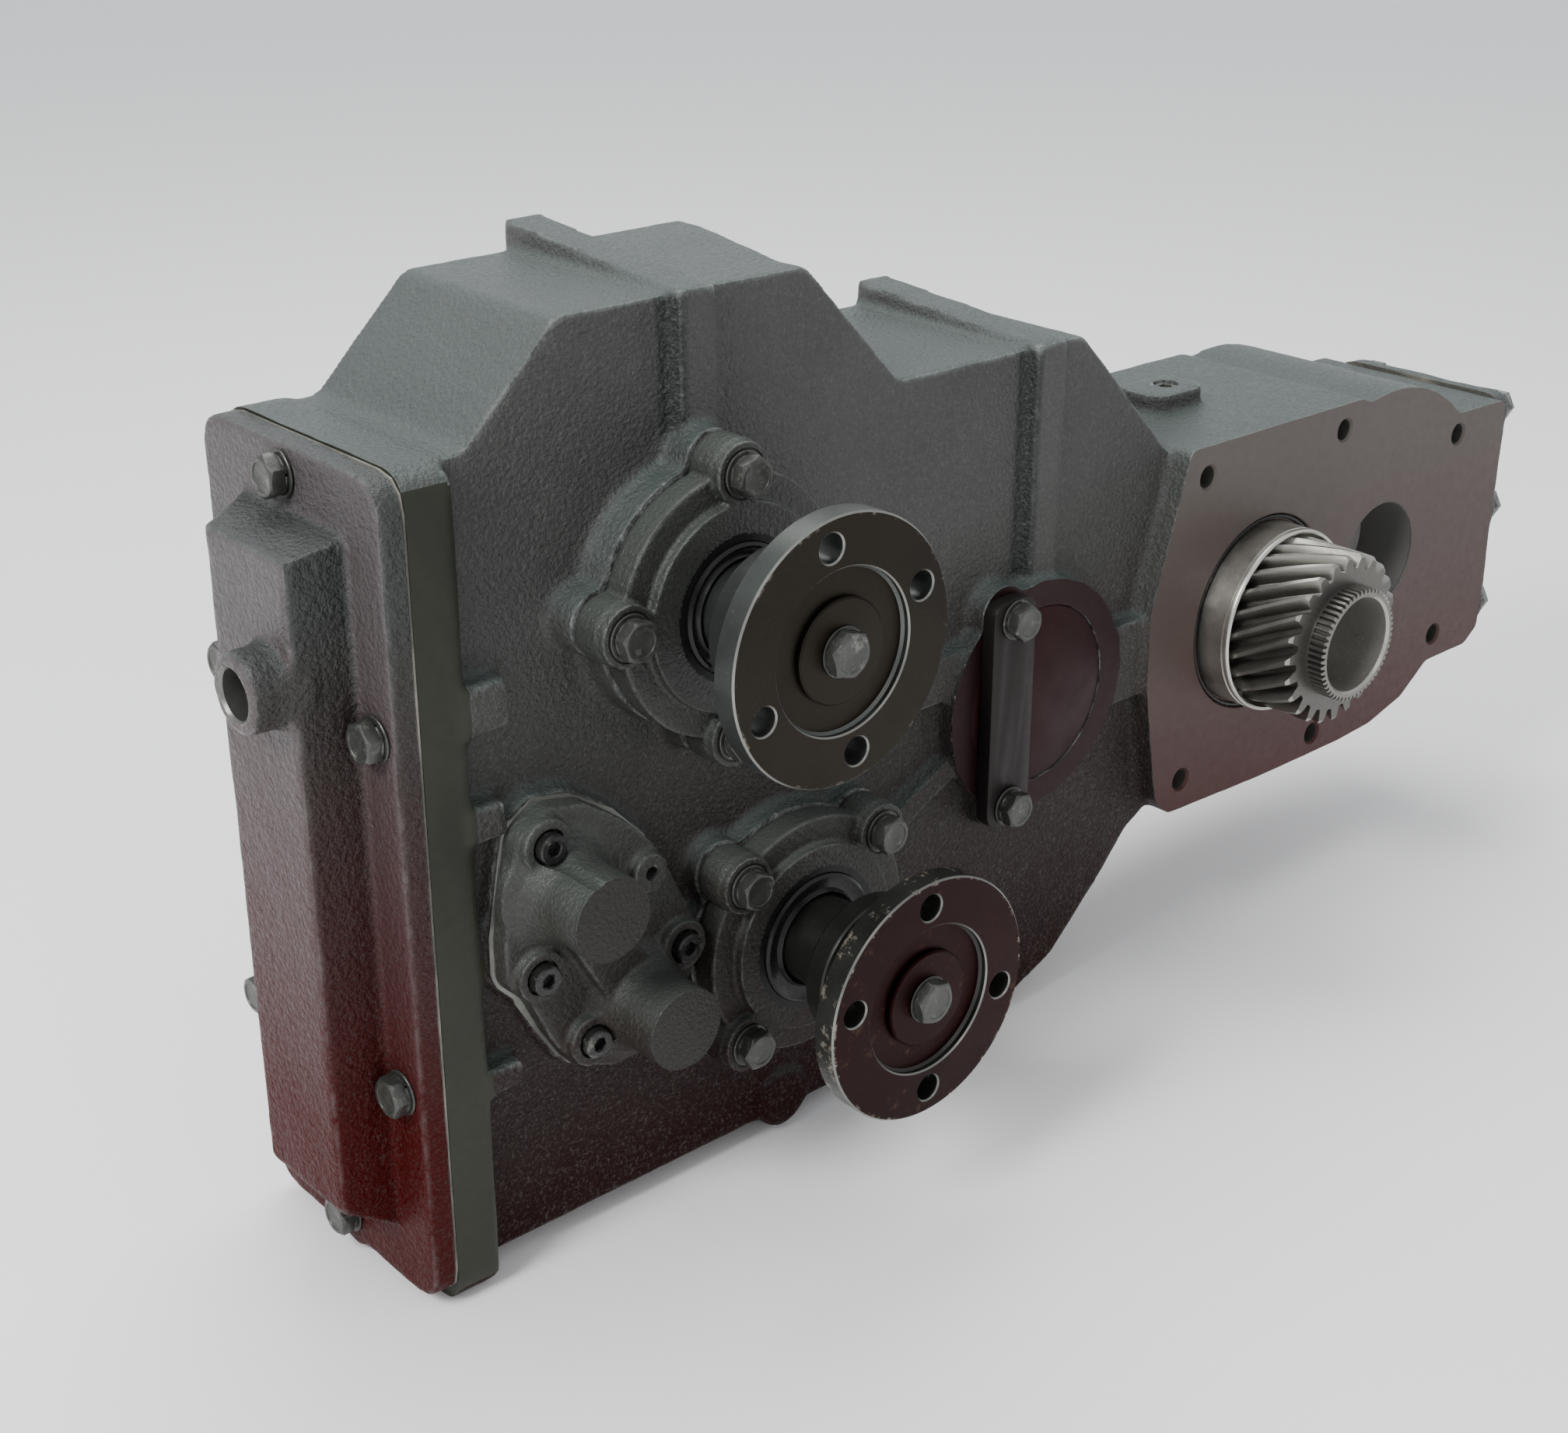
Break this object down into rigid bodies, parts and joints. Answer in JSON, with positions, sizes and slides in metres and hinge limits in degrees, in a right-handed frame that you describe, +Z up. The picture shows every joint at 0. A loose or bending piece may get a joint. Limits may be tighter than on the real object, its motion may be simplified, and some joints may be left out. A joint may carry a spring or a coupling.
{
  "type": "industrial gearbox",
  "caption": "Cast housing with a geared input socket, two bolted output flanges, bearing covers, a shift cover and a ribbed end cover, for driving two shafts from one.",
  "frame": {"origin": "centre of the bounding box on the ground plane", "axes": "+Z up, the long side runs along +X, the output flanges and the input gear face -Y, and the end cover with the port faces -X"},
  "size_m": [0.86, 0.2411, 0.4535],
  "materials": {
    "bolt_steel": "zinc and paint, worn",
    "cast_paint": "dark green-grey semi-gloss paint over rough sand casting",
    "cover_paint": "dark paint over coarse pitted casting",
    "dark_steel": "oily dark steel, worn bright on edges",
    "gasket_sheet": "compressed fibre gasket",
    "gear_steel": "bright ground steel",
    "seal_rubber": "oil seal rubber"
  },
  "bodies": {
    "case": {"housing": "cast_paint", "end_cover": "cover_paint", "end_cover_gasket": "gasket_sheet", "right_cover": "cast_paint", "right_cover_gasket": "gasket_sheet", "upper_bearing_cover": "cast_paint", "lower_bearing_cover": "cast_paint", "keeper_bar": "dark_steel", "idler_cap": "dark_steel", "shift_cover": "cast_paint", "shift_cover_gasket": "gasket_sheet", "filler_plug": "bolt_steel", "upper_cover_bolt_1": "bolt_steel", "lower_cover_bolt_1": "bolt_steel", "shift_cover_screw_1": "bolt_steel", "upper_cover_bolt_2": "bolt_steel", "lower_cover_bolt_2": "bolt_steel", "shift_cover_screw_2": "bolt_steel", "upper_cover_bolt_3": "bolt_steel", "lower_cover_bolt_3": "bolt_steel", "shift_cover_screw_3": "bolt_steel", "upper_cover_bolt_4": "bolt_steel", "lower_cover_bolt_4": "bolt_steel", "shift_cover_screw_4": "bolt_steel", "keeper_bolt_1": "bolt_steel", "keeper_bolt_2": "bolt_steel", "end_cover_bolt_1": "bolt_steel", "end_cover_bolt_2": "bolt_steel", "end_cover_bolt_3": "bolt_steel", "end_cover_bolt_4": "bolt_steel", "end_cover_bolt_5": "bolt_steel", "end_cover_bolt_6": "bolt_steel", "upper_seal": "seal_rubber", "upper_front_bearing": "gear_steel", "upper_rear_bearing": "gear_steel", "lower_seal": "seal_rubber", "lower_front_bearing": "gear_steel", "lower_rear_bearing": "gear_steel", "idler_front_bearing": "gear_steel", "idler_rear_bearing": "gear_steel", "input_bearing": "gear_steel", "input_rear_bearing": "gear_steel"},
    "upper_output": {"upper_flange": "dark_steel", "upper_washer": "dark_steel", "upper_centre_bolt": "bolt_steel", "upper_shaft": "gear_steel", "upper_gear": "gear_steel"},
    "lower_output": {"lower_flange": "dark_steel", "lower_washer": "dark_steel", "lower_centre_bolt": "bolt_steel", "lower_shaft": "gear_steel", "lower_gear": "gear_steel"},
    "idler": {"idler_shaft": "gear_steel", "idler_gear": "gear_steel"},
    "input": {"input_gear": "gear_steel", "input_dog_ring": "gear_steel", "input_shaft": "gear_steel"},
    "shifter": {"shift_rail": "gear_steel", "shift_fork": "gear_steel"},
    "sleeve": {"shift_sleeve": "gear_steel"}
  },
  "joints": [
    {"name": "idler_spin", "type": "hinge", "parent": "case", "child": "idler", "pos_m": [-0.0028, 0.0278, 0.19836], "axis": [0, -1, 0], "continuous": true},
    {"name": "upper_output_spin", "type": "hinge", "parent": "case", "child": "upper_output", "pos_m": [-0.224, 0.0278, 0.3105], "axis": [0, -1, 0], "continuous": true},
    {"name": "lower_output_spin", "type": "hinge", "parent": "case", "child": "lower_output", "pos_m": [-0.17236, 0.0278, 0.1269], "axis": [0, -1, 0], "continuous": true},
    {"name": "input_spin", "type": "hinge", "parent": "case", "child": "input", "pos_m": [0.1772, 0.0278, 0.19836], "axis": [0, -1, 0], "continuous": true},
    {"name": "rail_slide", "type": "slide", "parent": "case", "child": "shifter", "axis": [0, -1, 0], "range_m": [-0.009, 0.009]},
    {"name": "sleeve_slide", "type": "slide", "parent": "lower_output", "child": "sleeve", "axis": [0, -1, 0], "range_m": [-0.009, 0.009]}
  ],
  "couplings": [
    {"joint": "upper_output_spin", "follows": "idler_spin", "ratio": -1.0667},
    {"joint": "lower_output_spin", "follows": "idler_spin", "ratio": -2.2857},
    {"joint": "input_spin", "follows": "idler_spin", "ratio": -2.4615},
    {"joint": "sleeve_slide", "follows": "rail_slide", "ratio": 1}
  ]
}
